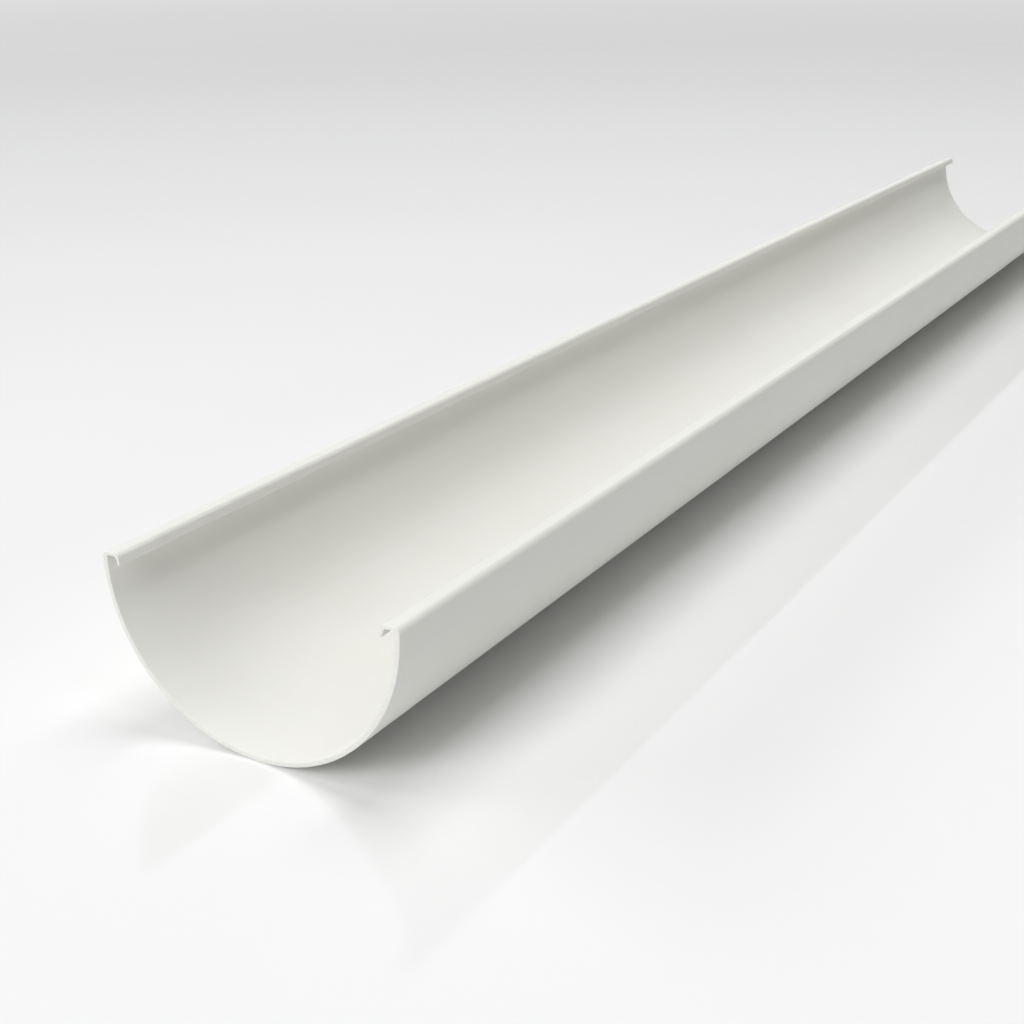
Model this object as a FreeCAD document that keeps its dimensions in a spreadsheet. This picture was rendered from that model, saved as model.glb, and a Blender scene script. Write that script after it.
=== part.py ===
import FreeCAD, Part
import math
import os

import Sketcher

# Half-round plastic rainwater gutter, one straight extruded length, open at both cut ends.
# Millimetres.  X runs along the gutter, Y across it, Z up; the origin is the lowest point
# of the round back at mid-length.  The trough is half of a tube; above the trough's axis
# each wall turns inward into a narrow flat-topped lip whose flange hangs down into the
# trough, so a bracket's clip can hook into the groove below the lip.

os.makedirs("parts", exist_ok=True)
doc = FreeCAD.newDocument("gutter")

# ---------------------------------------------------------------- sizes, each its own value
SIZES = [
    ("gutter_length", 1000.0, "cut length of the piece"),
    ("trough_radius", 62.5, "outside radius of the round trough (125 mm nominal width)"),
    ("wall_thickness", 1.9, "thickness of the trough wall"),
    ("lip_rise", 2.3, "top of the lip above the trough's axis"),
    ("lip_width", 7.3, "outside of the wall to the trough side of the lip, at its top"),
    ("lip_depth", 4.3, "top of the lip to the lowest point of the hanging flange"),
    ("lip_top_thickness", 1.25, "thickness of the flat top of the lip"),
    ("flange_root_thickness", 1.35, "thickness of the hanging flange where it leaves the top"),
    ("flange_tip_radius", 0.45, "rounding of the flange's lower edge"),
    ("flange_lean", 0.35, "how far the flange's tip leans into the trough"),
    ("outer_corner_radius", 2.2, "rounded corner between the wall and the lip's top"),
    ("inner_corner_radius", 1.7, "rounded corner between the lip's top and the flange"),
    ("groove_flange_radius", 0.6, "corner under the lip, beside the flange"),
    ("groove_wall_radius", 0.9, "corner under the lip, beside the wall"),
]

sheet = doc.addObject("Spreadsheet::Sheet", "Sizes")
for row, (name, value, note) in enumerate(SIZES, start=1):
    sheet.set("A%d" % row, name)
    sheet.set("B%d" % row, str(value))
    sheet.set("C%d" % row, note)
    sheet.setAlias("B%d" % row, name)
doc.recompute()

S = {name: float(sheet.get(name)) for name, value, note in SIZES}


def origin_plane(body, role):
    """The body's own origin plane with the given role, for example YZ_Plane."""
    for feature in body.Origin.OriginFeatures:
        if feature.Role == role:
            return feature
    raise RuntimeError("no origin plane " + role)


def new_sketch(body, name, role):
    """A sketch lying flat on one of the body's own origin planes."""
    sketch = body.newObject("Sketcher::SketchObject", name)
    sketch.AttachmentSupport = [(origin_plane(body, role), "")]
    sketch.MapMode = "FlatFace"
    doc.recompute()
    return sketch


def bind(sketch, name, expression, *constraint):
    """Add a named dimension to a sketch and drive it from the sheet."""
    index = sketch.addConstraint(Sketcher.Constraint(*constraint))
    sketch.renameConstraint(index, name)
    sketch.setExpression("Constraints." + name, expression)


def line(sketch, start, end):
    """Add a straight edge and give back its number."""
    first = FreeCAD.Vector(start[0], start[1], 0)
    last = FreeCAD.Vector(end[0], end[1], 0)
    return sketch.addGeometry(Part.LineSegment(first, last), False)


def arc(sketch, centre, radius, from_angle, to_angle):
    """Add an arc running anticlockwise between two angles in radians."""
    middle = FreeCAD.Vector(centre[0], centre[1], 0)
    circle = Part.Circle(middle, FreeCAD.Vector(0, 0, 1), radius)
    return sketch.addGeometry(Part.ArcOfCircle(circle, from_angle, to_angle), False)


def pad_whole_length(body, sketch, name):
    """Extrude a section sketch evenly to both sides of the YZ plane."""
    pad = body.newObject("PartDesign::Pad", name)
    pad.Profile = sketch
    pad.Midplane = True
    pad.setExpression("Length", "Sizes.gutter_length")
    sketch.Visibility = False
    doc.recompute()
    return pad


START, END, CENTRE = 1, 2, 3
ORIGIN = (-1, 1)

body = doc.addObject("PartDesign::Body", "gutter_section")
body.Label = "gutter_section"

# ------------------------------------------------------------------ the trough, half a tube
trough = new_sketch(body, "TroughSection", "YZ_Plane")
radius = S["trough_radius"]
bore = radius - S["wall_thickness"]
outside = arc(trough, (0, radius), radius, math.pi, 2 * math.pi)
inside = arc(trough, (0, radius), bore, math.pi, 2 * math.pi)
left_edge = line(trough, (-radius, radius), (-bore, radius))
right_edge = line(trough, (bore, radius), (radius, radius))
trough.addConstraint([
    Sketcher.Constraint("Coincident", outside, START, left_edge, START),
    Sketcher.Constraint("Coincident", left_edge, END, inside, START),
    Sketcher.Constraint("Coincident", inside, END, right_edge, START),
    Sketcher.Constraint("Coincident", right_edge, END, outside, END),
    Sketcher.Constraint("Coincident", outside, CENTRE, inside, CENTRE),
    Sketcher.Constraint("PointOnObject", outside, CENTRE, -2),
    Sketcher.Constraint("Horizontal", outside, START, outside, CENTRE),
    Sketcher.Constraint("Horizontal", outside, END, outside, CENTRE),
    Sketcher.Constraint("Horizontal", inside, START, inside, CENTRE),
    Sketcher.Constraint("Horizontal", inside, END, inside, CENTRE),
])
bind(trough, "AxisHeight", "Sizes.trough_radius",
     "DistanceY", *ORIGIN, outside, CENTRE, radius)
bind(trough, "OutsideRadius", "Sizes.trough_radius", "Radius", outside, radius)
bind(trough, "InsideRadius", "Sizes.trough_radius - Sizes.wall_thickness",
     "Radius", inside, bore)
trough_pad = pad_whole_length(body, trough, "TroughWall")

# ------------------------------------------------- one lip, drawn once and mirrored across
lip = new_sketch(body, "LipSection", "YZ_Plane")
crest = radius + S["lip_rise"]
outer_r = S["outer_corner_radius"]
inner_r = S["inner_corner_radius"]
tip_r = S["flange_tip_radius"]
flange_r = S["groove_flange_radius"]
wall_r = S["groove_wall_radius"]
ceiling = crest - S["lip_top_thickness"]

outer_centre = (radius - outer_r, crest - outer_r)
inner_centre = (radius - S["lip_width"] + inner_r, crest - inner_r)
tip_centre = (radius - S["lip_width"] - S["flange_lean"] + tip_r,
              crest - S["lip_depth"] + tip_r)
flange_centre = (radius - S["lip_width"] + S["flange_root_thickness"] + flange_r,
                 ceiling - flange_r)
wall_centre = (bore - wall_r, ceiling - wall_r)


def touch_angle(centre_a, radius_a, centre_b, radius_b, side):
    """Direction from both centres to the straight edge touching two circles on one side."""
    across = centre_b[0] - centre_a[0]
    down = centre_b[1] - centre_a[1]
    along = math.atan2(down, across)
    offset = math.acos((radius_a - radius_b) / math.hypot(across, down))
    return along + side * offset


def on_circle(centre, radius_, angle):
    """The point of a circle in the given direction."""
    return (centre[0] + radius_ * math.cos(angle), centre[1] + radius_ * math.sin(angle))


# the trough-side face touches the inner corner and the tip; the groove-side face touches
# the tip on its other side and the corner under the lip, which curves the opposite way
trough_side = touch_angle(inner_centre, inner_r, tip_centre, tip_r, -1) % (2 * math.pi)
groove_side = touch_angle(flange_centre, -flange_r, tip_centre, tip_r, 1)
hollow_turn = (groove_side + math.pi) % (2 * math.pi)

seam = line(lip, (bore, radius), (radius, radius))
wall_out = line(lip, (radius, radius), (radius, crest - outer_r))
corner_out = arc(lip, outer_centre, outer_r, 0, math.pi / 2)
top = line(lip, (outer_centre[0], crest), (inner_centre[0], crest))
corner_in = arc(lip, inner_centre, inner_r, math.pi / 2, trough_side)
face_trough = line(lip, on_circle(inner_centre, inner_r, trough_side),
                   on_circle(tip_centre, tip_r, trough_side))
tip = arc(lip, tip_centre, tip_r, trough_side, groove_side % (2 * math.pi) + 2 * math.pi)
face_groove = line(lip, on_circle(tip_centre, tip_r, groove_side),
                   on_circle(flange_centre, flange_r, hollow_turn))
corner_flange = arc(lip, flange_centre, flange_r, math.pi / 2, hollow_turn)
under = line(lip, (flange_centre[0], ceiling), (wall_centre[0], ceiling))
corner_wall = arc(lip, wall_centre, wall_r, 0, math.pi / 2)
wall_in = line(lip, (bore, ceiling - wall_r), (bore, radius))
lip.addConstraint([
    Sketcher.Constraint("Coincident", wall_in, END, seam, START),
    Sketcher.Constraint("Coincident", seam, END, wall_out, START),
    Sketcher.Constraint("Tangent", wall_out, END, corner_out, START),
    Sketcher.Constraint("Tangent", corner_out, END, top, START),
    Sketcher.Constraint("Tangent", top, END, corner_in, START),
    Sketcher.Constraint("Tangent", corner_in, END, face_trough, START),
    Sketcher.Constraint("Tangent", face_trough, END, tip, START),
    Sketcher.Constraint("Tangent", tip, END, face_groove, START),
    Sketcher.Constraint("Tangent", face_groove, END, corner_flange, END),
    Sketcher.Constraint("Tangent", corner_flange, START, under, START),
    Sketcher.Constraint("Tangent", under, END, corner_wall, END),
    Sketcher.Constraint("Tangent", corner_wall, START, wall_in, START),
    Sketcher.Constraint("Horizontal", seam),
    Sketcher.Constraint("Vertical", wall_out),
    Sketcher.Constraint("Horizontal", top),
    Sketcher.Constraint("Horizontal", under),
    Sketcher.Constraint("Vertical", wall_in),
])
bind(lip, "SeamHeight", "Sizes.trough_radius",
     "DistanceY", *ORIGIN, seam, END, radius)
bind(lip, "OutsideFace", "Sizes.trough_radius",
     "DistanceX", *ORIGIN, seam, END, radius)
bind(lip, "WallThickness", "Sizes.wall_thickness",
     "DistanceX", seam, START, seam, END, S["wall_thickness"])
bind(lip, "LipRise", "Sizes.lip_rise",
     "DistanceY", seam, END, top, START, S["lip_rise"])
bind(lip, "OuterCorner", "Sizes.outer_corner_radius", "Radius", corner_out, outer_r)
bind(lip, "InnerCorner", "Sizes.inner_corner_radius", "Radius", corner_in, inner_r)
bind(lip, "TipRounding", "Sizes.flange_tip_radius", "Radius", tip, tip_r)
bind(lip, "FlangeCorner", "Sizes.groove_flange_radius", "Radius", corner_flange, flange_r)
bind(lip, "WallCorner", "Sizes.groove_wall_radius", "Radius", corner_wall, wall_r)
bind(lip, "TopThickness", "Sizes.lip_top_thickness",
     "DistanceY", under, END, top, START, S["lip_top_thickness"])
bind(lip, "LipWidth", "Sizes.lip_width - Sizes.inner_corner_radius",
     "DistanceX", corner_in, CENTRE, seam, END, S["lip_width"] - inner_r)
bind(lip, "TipReach", "Sizes.lip_width + Sizes.flange_lean - Sizes.flange_tip_radius",
     "DistanceX", tip, CENTRE, seam, END, radius - tip_centre[0])
bind(lip, "TipDepth", "Sizes.lip_depth - Sizes.flange_tip_radius",
     "DistanceY", tip, CENTRE, top, START, crest - tip_centre[1])
bind(lip, "RootThickness",
     "Sizes.lip_width - Sizes.flange_root_thickness - Sizes.groove_flange_radius",
     "DistanceX", corner_flange, CENTRE, seam, END, radius - flange_centre[0])
lip_pad = pad_whole_length(body, lip, "LipPad")

mirror = body.newObject("PartDesign::Mirrored", "OtherLip")
mirror.Originals = [lip_pad]
mirror.MirrorPlane = (origin_plane(body, "XZ_Plane"), [""])
body.Tip = mirror
doc.recompute()

# ------------------------------------------------------------------- checks, then the file
for sketch in (trough, lip):
    if not sketch.FullyConstrained:
        raise RuntimeError(sketch.Name + " isn't fully held by its sizes")
for item in doc.Objects:
    if "Invalid" in item.State or "Error" in item.State:
        raise RuntimeError(item.Name + " failed to build")
shape = body.Shape
if shape.isNull() or not shape.isValid() or len(shape.Solids) != 1:
    raise RuntimeError("gutter_section isn't one sound solid")
body.Shape.exportStep("parts/gutter_section.step")
box = shape.BoundBox
print("gutter_section", round(box.XLength, 3), round(box.YLength, 3), round(box.ZLength, 3))
print("section area", round(shape.Volume / S["gutter_length"], 2), "mm2")
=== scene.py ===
# %% [markdown]
# # A half-round plastic rain gutter
#
# The real thing is pushed out of a die as one endless strip and sawn to length, so every
# cross-section is the same.  That makes it a good first lesson: draw the section once, as
# exactly as you can, carry it along a straight line, and close the two sawn ends.
# Everything below is in metres: X runs along the gutter, Y across it, Z up.

# %% Load the solid model and keep its box
import math

import bpy
import numpy as np
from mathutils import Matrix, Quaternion, Vector


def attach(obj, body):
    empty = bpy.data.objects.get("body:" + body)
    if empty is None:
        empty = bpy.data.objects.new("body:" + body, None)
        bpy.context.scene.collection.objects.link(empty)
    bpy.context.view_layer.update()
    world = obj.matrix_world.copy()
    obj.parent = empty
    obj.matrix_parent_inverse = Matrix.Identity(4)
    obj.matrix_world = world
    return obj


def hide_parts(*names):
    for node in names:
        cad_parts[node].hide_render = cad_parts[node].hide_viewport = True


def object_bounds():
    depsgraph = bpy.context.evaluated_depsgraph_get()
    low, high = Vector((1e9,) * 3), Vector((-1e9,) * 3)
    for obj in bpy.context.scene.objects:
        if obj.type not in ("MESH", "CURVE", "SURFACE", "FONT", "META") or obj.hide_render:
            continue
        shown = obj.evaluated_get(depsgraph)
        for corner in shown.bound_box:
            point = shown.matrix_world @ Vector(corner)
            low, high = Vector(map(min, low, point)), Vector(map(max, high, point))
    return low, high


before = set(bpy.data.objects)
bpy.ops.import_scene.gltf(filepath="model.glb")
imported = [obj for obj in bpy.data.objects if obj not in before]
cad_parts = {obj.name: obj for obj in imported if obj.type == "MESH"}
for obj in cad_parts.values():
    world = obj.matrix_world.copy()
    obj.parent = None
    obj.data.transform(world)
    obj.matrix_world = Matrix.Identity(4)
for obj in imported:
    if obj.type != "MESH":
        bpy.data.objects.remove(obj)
cad_low, cad_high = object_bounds()
print("solid model from", tuple(cad_low), "to", tuple(cad_high))

# %% [markdown]
# ## The sizes of the section
#
# The trough is half of a tube.  Above the tube's axis each wall turns inward into a lip: a
# flat top with a flange that hangs down into the trough, so that a bracket can hook in
# behind it.  The outside sizes come from the solid model's own box, so the piece drawn
# here always fills that box exactly; the rest are the small sizes of the die.

# %% Name every size once
half_length = cad_high.x
trough_radius = cad_high.y
lip_height = cad_high.z
wall = 0.0019
lip_width = 0.0073
lip_depth = 0.0043
lip_thickness = 0.00125
flange_root = 0.00135
flange_tip_radius = 0.00045
flange_lean = 0.00035
corner_outside = 0.0022
corner_inside = 0.0017
groove_corner_flange = 0.0006
groove_corner_wall = 0.0009
edge_break = 0.00025
print("gutter %.3f m long, %.4f m wide, %.4f m high"
      % (2 * half_length, 2 * trough_radius, lip_height))

# %% [markdown]
# ## Corners and straight runs
#
# The die is a chain of arcs joined by straight runs that touch them without a kink.  An arc
# is easy to write as points on a circle.  A straight run between two arcs needs no points
# of its own: it appears by itself between the last point of one arc and the first point of
# the next, as long as both arcs end where the run touches them.  A Bevel modifier could
# round a square outline too, but it would not keep the die's exact radii.


# %% Points on an arc, and where a straight run touches two arcs
def arc_points(centre, radius, start, stop, count):
    """Points (y, z) = centre + radius * (cos a, sin a), with a going evenly from start to stop."""
    angle = np.linspace(start, stop, count)
    return np.column_stack([centre[0] + radius * np.cos(angle),
                            centre[1] + radius * np.sin(angle)])


def touching_angle(centre_a, radius_a, centre_b, radius_b, side):
    """Direction from either centre to the run that touches both circles.

    It is the direction from centre a to centre b, turned by the angle whose cosine is the
    difference of the radii over the distance.  A hollow corner counts as a negative radius.
    """
    across, up = np.subtract(centre_b, centre_a)
    turn = math.acos((radius_a - radius_b) / math.hypot(across, up))
    return math.atan2(up, across) + side * turn


# %% [markdown]
# ## One half of the section, as two matched sides
#
# A thin wall is easiest to handle as two curves walked in step, one on each face: point
# number s of the outer side lies opposite point number s of the inner side.  Later the sawn
# end is simply the strip between them.  Both curves start at the lowest point of the trough
# and meet at the very tip of the flange.

# %% Walk both faces from the lowest point to the tip of the flange
bore = trough_radius - wall
ceiling = lip_height - lip_thickness
outer_corner = (trough_radius - corner_outside, lip_height - corner_outside)
inner_corner = (trough_radius - lip_width + corner_inside, lip_height - corner_inside)
tip_centre = (trough_radius - lip_width - flange_lean + flange_tip_radius,
              lip_height - lip_depth + flange_tip_radius)
flange_corner = (trough_radius - lip_width + flange_root + groove_corner_flange,
                 ceiling - groove_corner_flange)
wall_corner = (bore - groove_corner_wall, ceiling - groove_corner_wall)

trough_side = touching_angle(inner_corner, corner_inside, tip_centre, flange_tip_radius, -1)
trough_side = trough_side % math.tau
groove_side = touching_angle(flange_corner, -groove_corner_flange,
                             tip_centre, flange_tip_radius, 1)
groove_side = trough_side + (groove_side - trough_side) % math.tau
tip_bottom = (trough_side + groove_side) / 2
quarter = math.pi / 2
trough_steps, corner_steps, tip_steps = 121, 15, 9

outer_half = np.vstack([
    arc_points((0, trough_radius), trough_radius, -quarter, 0, trough_steps),
    arc_points(outer_corner, corner_outside, 0, quarter, corner_steps),
    arc_points(inner_corner, corner_inside, quarter, trough_side, corner_steps),
    arc_points(tip_centre, flange_tip_radius, trough_side, tip_bottom, tip_steps),
])
inner_half = np.vstack([
    arc_points((0, trough_radius), bore, -quarter, 0, trough_steps),
    arc_points(wall_corner, groove_corner_wall, 0, quarter, corner_steps),
    arc_points(flange_corner, groove_corner_flange, quarter, groove_side - math.pi,
               corner_steps),
    arc_points(tip_centre, flange_tip_radius, groove_side, tip_bottom, tip_steps),
])
print("half a section:", len(outer_half), "matched pairs of points")

# %% [markdown]
# ## The whole section as one closed loop
#
# The other half is this one mirrored and read backwards, so the curve runs from one flange's
# tip, down and round the trough, and up to the other tip.  A Mirror modifier could make the
# second half, but its points would not form one chain.  Going there on the outer side
# and back on the inner side gives a closed loop.  Walked this way, the material is always
# on the left, so "outwards" is always on the right: the direction of travel (y, z) turned
# to (z, -y).


# %% Join the halves and find the outward direction at every point
def whole(half):
    """The half read backwards with y negated, then the half itself without its first point."""
    return np.vstack([half[::-1] * (-1, 1), half[1:]])


def outward(loop):
    """Unit vectors square to the loop: travel from the last point to the next, turned right."""
    travel = np.roll(loop, -1, axis=0) - np.roll(loop, 1, axis=0)
    turned = np.column_stack([travel[:, 1], -travel[:, 0]])
    return turned / np.linalg.norm(turned, axis=1, keepdims=True)


outer_side, inner_side = whole(outer_half), whole(inner_half)
pairs = len(outer_side)
loop = np.vstack([outer_side, inner_side[-2:0:-1]])
loop_out = outward(loop)
around = np.concatenate([[0], np.cumsum(np.linalg.norm(
    np.roll(loop, -1, axis=0) - loop, axis=1))])
print("closed loop:", len(loop), "points, %.1f mm round" % (1000 * around[-1]))

# %% [markdown]
# ## Stations along the length
#
# Between the ends the section never changes, so a few rings would do; evenly spaced ones
# keep the faces a sensible shape.  A sawn plastic edge is never perfectly sharp.  Running
# a thumb or a file along it leaves a tiny rounding, and that is what catches the light, so
# the last rings follow a quarter circle: they sink inward while x goes to the very end.

# %% Rings of the skin: where each one stands and how far it is drawn in
rounding_rings, plain_rings = 5, 49
plain_from_end = 0.02

bend = np.linspace(0, quarter, rounding_rings)
end_step = edge_break * (1 - np.sin(bend))
end_sink = edge_break * (1 - np.cos(bend))
middle = np.linspace(-half_length + plain_from_end, half_length - plain_from_end,
                     plain_rings)
stations = np.concatenate([-half_length + end_step[::-1], middle, half_length - end_step])
sinks = np.concatenate([end_sink[::-1], np.zeros(len(middle)), end_sink])
print(len(stations), "rings from", stations[0], "to", stations[-1])


# %% [markdown]
# ## The skin as one grid
#
# The skin is a grid: one direction steps through the rings, the other goes round the loop
# and closes on itself.  A curve with a bevel profile would sweep the same surface, but
# arrays let the last rings sink inward and give every face its place on a flat map.  That
# map is in metres along the gutter and metres round the section, because the marks of a
# die follow the section and run the whole length.


# %% Build the points and faces of the skin
def skin_points():
    """Ring i, loop point j: x = station i, (y, z) = loop j - sink i * outward j."""
    ring_count, loop_count = len(stations), len(loop)
    points = np.empty((ring_count, loop_count, 3))
    points[:, :, 0] = stations[:, None]
    points[:, :, 1:] = loop[None] - sinks[:, None, None] * loop_out[None]
    return points.reshape(-1, 3)


def skin_faces():
    """Four-sided faces between neighbouring rings, with the map position of each corner."""
    ring, step = np.meshgrid(np.arange(len(stations) - 1), np.arange(len(loop)),
                             indexing="ij")
    after = (step + 1) % len(loop)
    width = len(loop)
    corners = np.stack([ring * width + step, ring * width + after,
                        (ring + 1) * width + after, (ring + 1) * width + step], axis=-1)
    along = np.stack([stations[ring], stations[ring],
                      stations[ring + 1], stations[ring + 1]], axis=-1)
    round_ = np.stack([around[step], around[step + 1],
                       around[step + 1], around[step]], axis=-1)
    return corners.reshape(-1, 4), np.stack([along, round_], axis=-1).reshape(-1, 2)


points = skin_points()
faces, face_map = skin_faces()
print("skin:", len(points), "points and", len(faces), "faces")

# %% [markdown]
# ## The two sawn ends
#
# A saw leaves a flat face, only as thick as the wall.  One many-sided face could close it,
# but Blender would cut that into long slivers, which shade badly.  Here each end is a
# small grid between the outer and the inner side.  It shares its border points with the
# last ring, so no seam is left open, and at each tip it closes with a fan of triangles.


# %% Build one sawn end between the last ring's two sides
def end_grid(ring, layers, first_new):
    """Point numbers on a grid of pairs by layers, and the new points inside it.

    Between the sides, layer k of n is outer + (inner - outer) * k / n.  Both tips are a
    single point, so the whole first and last row of the grid is that point's number.
    """
    start = ring * len(loop)
    number = np.zeros((pairs, layers + 1), int)
    number[:, 0] = start + np.arange(pairs)
    inner_number = start + 2 * pairs - 2 - np.arange(pairs)
    number[1:-1, -1] = inner_number[1:-1]
    share = (np.arange(1, layers) / layers)[None, :, None]
    outer = points[number[1:-1, 0]][:, None]
    inner = points[number[1:-1, -1]][:, None]
    new = (outer + (inner - outer) * share).reshape(-1, 3)
    number[1:-1, 1:-1] = first_new + np.arange(len(new)).reshape(pairs - 2, layers - 1)
    number[0, :] = number[0, 0]
    number[-1, :] = number[-1, 0]
    return number, new


def end_faces(number, facing):
    """Faces of the grid, and a triangle fan at each tip; reversed where the end faces -X."""
    quads = np.stack([number[1:-2, :-1], number[2:-1, :-1],
                      number[2:-1, 1:], number[1:-2, 1:]], axis=-1).reshape(-1, 4)
    first = np.stack([number[0, :-1], number[1, :-1], number[1, 1:]], axis=-1)
    last = np.stack([number[-2, :-1], number[-1, :-1], number[-2, 1:]], axis=-1)
    fans = np.vstack([first, last])
    return (quads, fans) if facing > 0 else (quads[:, ::-1], fans[:, ::-1])


end_layers = 4
end_quads, end_fans = [], []
for ring, facing in ((0, -1), (len(stations) - 1, 1)):
    number, new_points = end_grid(ring, end_layers, len(points))
    points = np.vstack([points, new_points])
    quads, fans = end_faces(number, facing)
    end_quads.append(quads)
    end_fans.append(fans)
end_quads, end_fans = np.vstack(end_quads), np.vstack(end_fans)
print("sawn ends:", len(end_quads), "faces and", len(end_fans), "triangles at the tips")

# %% [markdown]
# ## From arrays to a mesh
#
# The arrays could be turned into faces one by one with bmesh, but a single call is shorter
# and much faster.  The faces of the two ends come last, so they are easily given the second
# finish.  Everything is shaded smooth, and only edges sharper than 30 degrees stay crisp.

# %% Hand the arrays to Blender
sharp_from = math.radians(30)

mesh = bpy.data.meshes.new("gutter")
mesh.from_pydata(points.tolist(), [],
                 faces.tolist() + end_quads.tolist() + end_fans.tolist())
section_map = mesh.uv_layers.new(name="section_map")
corner_map = np.zeros((len(mesh.loops), 2), np.float32)
corner_map[:len(face_map)] = face_map
section_map.data.foreach_set("uv", corner_map.ravel())
gutter = bpy.data.objects.new("gutter", mesh)
bpy.context.scene.collection.objects.link(gutter)

finish_number = np.zeros(len(mesh.polygons), np.int32)
finish_number[len(faces):] = 1
mesh.polygons.foreach_set("material_index", finish_number)
mesh.polygons.foreach_set("use_smooth", np.ones(len(mesh.polygons), bool))
mesh.set_sharp_from_angle(angle=sharp_from)
mesh.update()
print("gutter mesh:", len(mesh.vertices), "points,", len(mesh.polygons), "faces, valid:",
      not mesh.validate())

# %% [markdown]
# ## A small language for shaders
#
# A material is a sum in disguise.  Wiring dozens of Math nodes by hand hides it, so one
# small class wraps a socket and lets Python's own signs add the nodes: `a * 2 + b` makes a
# multiply and an add.  Any other node comes from `Nodes.make`, which takes sockets by name
# or, where a node has several of one name, by number.


# %% Wrap sockets so that they can be added and multiplied
class Wire:
    """A socket of a shader node that works in Python sums."""

    def __init__(self, nodes, socket):
        self.nodes = nodes
        self.socket = socket

    def maths(self, operation, first, second):
        return self.nodes.make("ShaderNodeMath", {"operation": operation},
                               {0: first, 1: second})

    def __add__(self, other):
        return self.maths("ADD", self, other)

    def __radd__(self, other):
        return self.maths("ADD", other, self)

    def __sub__(self, other):
        return self.maths("SUBTRACT", self, other)

    def __rsub__(self, other):
        return self.maths("SUBTRACT", other, self)

    def __mul__(self, other):
        return self.maths("MULTIPLY", self, other)

    def __rmul__(self, other):
        return self.maths("MULTIPLY", other, self)


class Nodes:
    """The nodes of one material, made one call at a time."""

    def __init__(self, name):
        self.material = bpy.data.materials.new(name)
        self.material.use_nodes = True
        self.tree = self.material.node_tree
        self.tree.nodes.clear()

    def make(self, kind, settings=None, inputs=None, output=0):
        """Add a node: its settings first, then the value or the wire of each socket."""
        node = self.tree.nodes.new(kind)
        for name, value in (settings or {}).items():
            setattr(node, name, value)
        for key, value in (inputs or {}).items():
            if isinstance(value, Wire):
                self.tree.links.new(value.socket, node.inputs[key])
            else:
                node.inputs[key].default_value = value
        return Wire(self, node.outputs[output])

    def noise(self, place, scale, detail, rough=0.5):
        """Smooth random values from 0 to 1."""
        return self.make("ShaderNodeTexNoise", {"noise_dimensions": "3D"},
                         {"Vector": place, "Scale": scale, "Detail": detail,
                          "Roughness": rough})

    def blend_colours(self, share, first, second):
        """A colour between two others: first where share is 0, second where it is 1.

        The Mix node has sockets for every kind of data; 6, 7 and output 2 are the colours'.
        """
        return self.make("ShaderNodeMix", {"data_type": "RGBA"},
                         {0: share, 6: first, 7: second}, output=2)

    def spread(self, wire, low, high):
        """Stretch the middle of a noise, from low to high, over the whole of 0 to 1."""
        return self.make("ShaderNodeMapRange", {"clamp": True},
                         {"Value": wire, "From Min": low, "From Max": high})

    def looked_at(self):
        """1 for the camera's own rays and for mirror-like reflections, 0 for all others."""
        by_camera = self.make("ShaderNodeLightPath", output="Is Camera Ray")
        by_mirror = self.make("ShaderNodeLightPath", output="Is Glossy Ray")
        return self.make("ShaderNodeMath", {"operation": "MAXIMUM"},
                         {0: by_camera, 1: by_mirror})

    def finish(self, shader):
        """Send a shader to the surface."""
        output = self.tree.nodes.new("ShaderNodeOutputMaterial")
        self.tree.links.new(shader.socket, output.inputs["Surface"])
        return self.material


# %% [markdown]
# ## The extruded skin
#
# White rainwater plastic leaves the die with a satin skin.  It is never one flat colour:
# the pigment clouds very slightly, the die leaves hair-fine lines down the whole length,
# and cooling leaves a faint grain.  A painted texture could show all this, but noise needs
# no file and never repeats.  The lines are noise stretched several hundredfold along the
# gutter on the section map; the clouds and the grain read plain object coordinates.

# %% Make the skin of the gutter
skin_white = (0.838, 0.839, 0.8, 1.0)
skin_shade = (0.818, 0.816, 0.771, 1.0)

skin = Nodes("white_pvc_skin")
here = skin.make("ShaderNodeTexCoord", output="Object")
flat = skin.make("ShaderNodeUVMap", {"uv_map": "section_map"})
stretched = skin.make("ShaderNodeVectorMath", {"operation": "MULTIPLY"},
                      {0: flat, 1: (1.2, 900.0, 1.0)})
broad = skin.make("ShaderNodeVectorMath", {"operation": "MULTIPLY"},
                  {0: flat, 1: (0.8, 120.0, 1.0)})
clouds = skin.noise(here, 9.0, 4.0)
die_lines = skin.noise(stretched, 1.0, 3.0)
die_bands = skin.noise(broad, 1.0, 2.0)
grain = skin.noise(here, 2600.0, 2.0)
handling = skin.noise(here, 38.0, 5.0, 0.6)

pigment = skin.spread(clouds * 0.6 + die_bands * 0.25 + handling * 0.15, 0.35, 0.65)
colour = skin.blend_colours(pigment, skin_white, skin_shade)
gloss = 0.44 + (die_lines - 0.5) * 0.08 + (handling - 0.5) * 0.14 + (grain - 0.5) * 0.08
relief = die_lines * 0.000006 + die_bands * 0.00001 + grain * 0.0000025
bumped = skin.make("ShaderNodeBump", None,
                   {"Strength": 1.0, "Distance": 1.0, "Height": relief})
skin_surface = skin.make("ShaderNodeBsdfPrincipled", None,
                         {"Base Color": colour, "Roughness": gloss, "IOR": 1.5,
                          "Specular IOR Level": 0.4, "Normal": bumped})
skin_material = skin.finish(skin_surface)
print("skin material:", len(skin.tree.nodes), "nodes")

# %% [markdown]
# ## The sawn finish
#
# A fine-toothed saw leaves a duller, slightly chalky face with short parallel scratches.
# They could be cut into the mesh, but they are far finer than its faces, so a bump in the
# finish shows them.  The blade went across the section at a slant, so the scratches are
# noise that is drawn out along one direction of the end face and squeezed across it.

# %% Make the sawn face
saw_white = (0.85, 0.85, 0.81, 1.0)
saw_dust = (0.78, 0.775, 0.73, 1.0)

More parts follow.
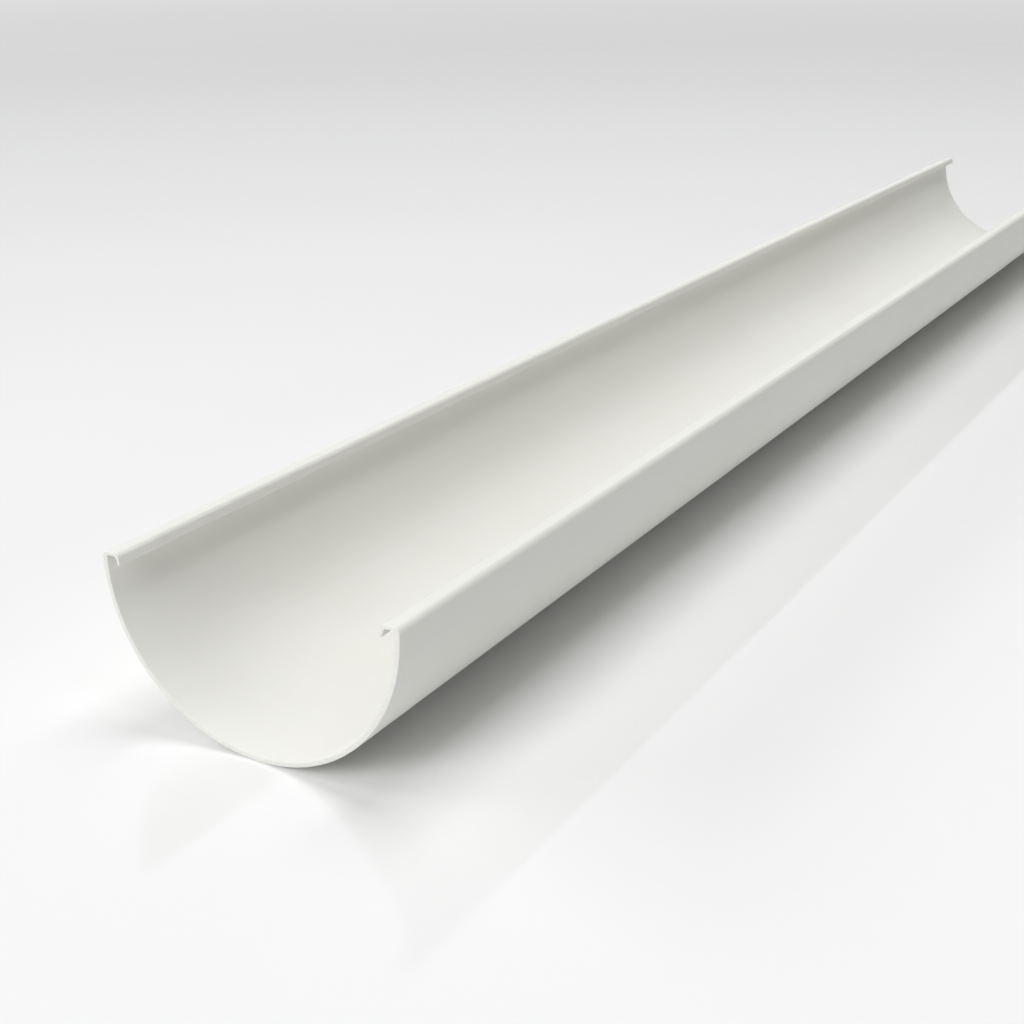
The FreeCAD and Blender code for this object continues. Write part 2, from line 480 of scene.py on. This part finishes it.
saw = Nodes("white_pvc_sawn")
here = saw.make("ShaderNodeTexCoord", output="Object")
slanted = saw.make("ShaderNodeMapping", None,
                   {"Vector": here, "Rotation": (math.radians(24), 0.0, 0.0),
                    "Scale": (1.0, 60.0, 2600.0)})
scratches = saw.noise(slanted, 1.0, 3.0)
chatter = saw.noise(here, 900.0, 3.0)
dust = saw.spread(scratches * 0.5 + chatter * 0.5, 0.35, 0.65)
colour = saw.blend_colours(dust, saw_white, saw_dust)
relief = scratches * 0.000018 + chatter * 0.000008
bumped = saw.make("ShaderNodeBump", None,
                  {"Strength": 1.0, "Distance": 1.0, "Height": relief})
saw_surface = saw.make("ShaderNodeBsdfPrincipled", None,
                       {"Base Color": colour, "Roughness": 0.6 + (chatter - 0.5) * 0.2,
                        "IOR": 1.5, "Specular IOR Level": 0.35, "Normal": bumped})
saw_material = saw.finish(saw_surface)
mesh.materials.append(skin_material)
mesh.materials.append(saw_material)
print("sawn material:", len(saw.tree.nodes), "nodes")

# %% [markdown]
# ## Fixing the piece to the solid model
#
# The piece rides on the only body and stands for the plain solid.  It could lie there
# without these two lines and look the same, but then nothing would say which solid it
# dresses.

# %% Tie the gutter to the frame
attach(gutter, "root")
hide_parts("gutter_section")

# %% [markdown]
# ## The floor
#
# The gutter lies on its round back on a pale, polished floor, which mirrors it faintly the
# way lacquered board does.  Fresnel's law does the work: a smooth surface of ordinary
# plastic mirrors a few percent when it is looked down on and far more at a low angle.  A
# pool of light is painted into the board's colour: palest round the gutter and a little
# greyer farther off, a painted falloff of light.  Far away it takes on
# the grey of the horizon by itself, so that floor and room meet without a line; only the
# camera and mirror-like reflections see that, and the gutter gets no light from it.

# %% Lay the floor
# floor_near is the board's colour at the middle of a painted pool of light; floor_far is the
# painted greyer falloff farther off.
floor_near = (0.905, 0.905, 0.905, 1.0)
floor_far = (0.6, 0.6, 0.605, 1.0)
horizon_grey = (0.78, 0.78, 0.785, 1.0)
painted_pool_centre = (-0.4, -0.5, 0.0)
grey_by = 3.5
horizon_from, horizon_by = 2.5, 8.0
floor_reach = 60.0

floor_mesh = bpy.data.meshes.new("floor")
floor_mesh.from_pydata([(-floor_reach, -floor_reach, 0), (floor_reach, -floor_reach, 0),
                        (floor_reach, floor_reach, 0), (-floor_reach, floor_reach, 0)],
                       [], [(0, 1, 2, 3)])
floor = bpy.data.objects.new("floor", floor_mesh)
bpy.context.scene.collection.objects.link(floor)

board = Nodes("pale_board")
here = board.make("ShaderNodeTexCoord", output="Object")
offset = board.make("ShaderNodeVectorMath", {"operation": "SUBTRACT"},
                    {0: here, 1: painted_pool_centre})
distance = board.make("ShaderNodeVectorMath", {"operation": "LENGTH"}, {0: offset},
                      output="Value")
# Painted falloff of light: the board's colour greys with distance from the painted pool's centre.
painted_falloff = board.make("ShaderNodeMapRange", {"interpolation_type": "SMOOTHSTEP"},
                      {"Value": distance, "From Min": 0.0, "From Max": grey_by})
board_colour = board.blend_colours(painted_falloff, floor_near, floor_far)
board_surface = board.make("ShaderNodeBsdfPrincipled", None,
                           {"Base Color": board_colour, "Roughness": 0.05, "IOR": 1.6,
                            "Specular IOR Level": 0.5})
horizon = board.make("ShaderNodeEmission", None, {"Color": horizon_grey, "Strength": 1.0})
far_off = board.make("ShaderNodeMapRange", {"interpolation_type": "SMOOTHSTEP"},
                     {"Value": distance, "From Min": horizon_from, "From Max": horizon_by})
board_all = board.make("ShaderNodeMixShader", None,
                       {0: far_off * board.looked_at(), 1: board_surface, 2: horizon})
floor_mesh.materials.append(board.finish(board_all))
print("floor laid,", 2 * floor_reach, "m square")

# %% [markdown]
# ## A room that is seen but gives no light
#
# The board mirrors the room above it, so the room has to look like something.  It is white
# overhead and fades to pale grey at the horizon, and only the camera and mirror-like
# reflections see it.  For every other ray the room is dark, which leaves the lighting to
# the lamps alone and keeps the shadow under the gutter deep.

# %% Paint the room
room_white = (1.0, 1.0, 1.0, 1.0)
white_from = math.sin(math.radians(27))

world = bpy.data.worlds.new("studio")
bpy.context.scene.world = world
world.use_nodes = True


class RoomNodes(Nodes):
    """The same small language for the nodes of a world."""

    def __init__(self, world_data):
        self.tree = world_data.node_tree
        self.tree.nodes.clear()


room = RoomNodes(world)
direction = room.make("ShaderNodeTexCoord", output="Generated")
height = room.make("ShaderNodeSeparateXYZ", None, {0: direction}, output="Z")
rise = room.make("ShaderNodeMapRange", {"interpolation_type": "SMOOTHSTEP"},
                 {"Value": height, "From Min": 0.0, "From Max": white_from})
room_colour = room.blend_colours(rise, horizon_grey, room_white)
backdrop = room.make("ShaderNodeBackground", None,
                     {"Color": room_colour, "Strength": room.looked_at()})
room_output = room.tree.nodes.new("ShaderNodeOutputWorld")
room.tree.links.new(backdrop.socket, room_output.inputs["Surface"])

# %% [markdown]
# ## Soft studio light
#
# Long lamps suit a long object.  A strip hangs over the gutter, and a second one stands on
# the far side, nearer to the front end; it throws the shadow towards the camera's side.
# Two square lamps high beyond the ends light the sawn faces and even out the length.  Those
# four leave two places too dark: the wall that faces the camera, and the top of the wall
# opposite, just under its lip.  A weak, narrow glow from the near side lifts both, because
# it shines a little downward over the near lip.
#
# The camera and mirror-like reflections don't see the lamps.  The polished floor would
# show each of them as a bright patch; this way it mirrors the plain room instead.


# %% Hang the lamps
def soft_lamp(name, place, length, width, watts, spread=180):
    """A rectangular area lamp at a place, turned to shine at the middle of the gutter."""
    data = bpy.data.lights.new(name, "AREA")
    data.shape = "RECTANGLE"
    data.size = length
    data.size_y = width
    data.energy = watts
    data.spread = math.radians(spread)
    lamp = bpy.data.objects.new(name, data)
    bpy.context.scene.collection.objects.link(lamp)
    lamp.location = place
    lamp.rotation_euler = (-Vector(place)).to_track_quat("-Z", "Y").to_euler()
    lamp.visible_camera = False
    lamp.visible_glossy = False
    return lamp


soft_lamp("overhead_strip", (-2.0, -0.25, 5.0), 9.0, 1.1, 55.0)
soft_lamp("far_end_lamp", (1.4, 0.0, 4.5), 2.5, 2.5, 102.0)
soft_lamp("near_end_lamp", (-4.1, 0.0, 2.9), 2.25, 2.25, 128.0)
soft_lamp("far_side_strip", (-1.5, 4.3, 2.5), 6.0, 1.1, 96.0)
soft_lamp("near_side_glow", (0.0, -4.8, 1.4), 7.5, 1.0, 4.8, spread=36)
lamps = [item for item in bpy.data.objects if item.type == "LIGHT"]
print(len(lamps), "lamps,", round(sum(lamp.data.energy for lamp in lamps), 1), "W in all")

# %% [markdown]
# ## The camera
#
# The view looks down the length from beyond one end, a little to the near side and well
# above the lips, with a normal lens.  A constraint could aim the camera at a target, but a
# heading, a tilt and a slight roll say exactly where it looks.

# %% Set up the camera
camera_data = bpy.data.cameras.new("camera")
camera_data.sensor_width = 36.0
camera_data.lens = 53.75
camera_data.clip_start = 0.01
camera = bpy.data.objects.new("camera", camera_data)
bpy.context.scene.collection.objects.link(camera)
heading, tilt, roll = math.radians(31.274), math.radians(-21.590), math.radians(-0.629)
looking = Vector((math.cos(tilt) * math.cos(heading), math.cos(tilt) * math.sin(heading),
                  math.sin(tilt)))
camera.location = (-0.8424, -0.3113, 0.2700)
camera.rotation_mode = "QUATERNION"
camera.rotation_quaternion = looking.to_track_quat("-Z", "Y") @ Quaternion((0, 0, 1), roll)
bpy.context.scene.camera = camera
bpy.context.scene.view_settings.view_transform = "Standard"
